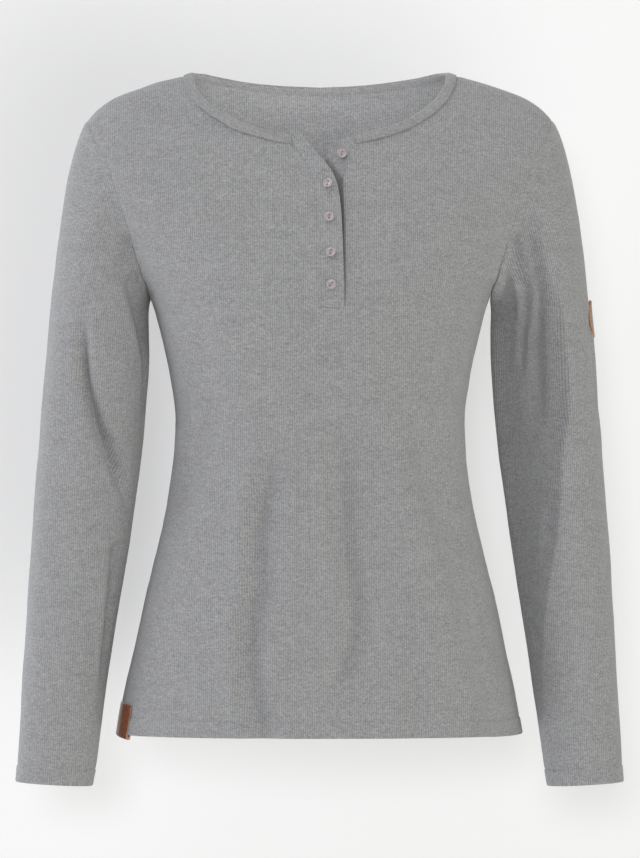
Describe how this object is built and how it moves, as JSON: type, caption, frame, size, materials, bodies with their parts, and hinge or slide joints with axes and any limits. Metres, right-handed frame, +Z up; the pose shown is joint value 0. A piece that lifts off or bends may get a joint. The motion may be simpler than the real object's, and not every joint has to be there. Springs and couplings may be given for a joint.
{
  "type": "long-sleeved henley top (women's, round neck, filled out as worn)",
  "caption": "Women's long-sleeved rib-knit henley top with a bound round neck, short buttoned placket, leather hem label and sleeve patch, filled out as worn.",
  "frame": {"origin": "midway between the two high shoulder points, where the neckline crosses the shoulder seams", "axes": "+Z up, -Y towards the front of the garment, +X towards the wearer's left"},
  "size_m": [0.5688, 0.2451, 0.6691],
  "materials": {
    "rib_jersey": "grey melange rib jersey, matt",
    "pearl_button": "pale pink mother-of-pearl look, glossy",
    "brown_leather": "smooth cognac-brown leather, semi-gloss"
  },
  "bodies": {
    "root": {"front": "rib_jersey", "back": "rib_jersey", "sleeve_right": "rib_jersey", "sleeve_left": "rib_jersey", "neck_binding": "rib_jersey", "placket_upper": "rib_jersey", "placket_under": "rib_jersey", "button_1": "pearl_button", "button_2": "pearl_button", "button_3": "pearl_button", "button_4": "pearl_button", "button_5": "pearl_button", "hem_label": "brown_leather", "sleeve_patch": "brown_leather"}
  },
  "joints": []
}
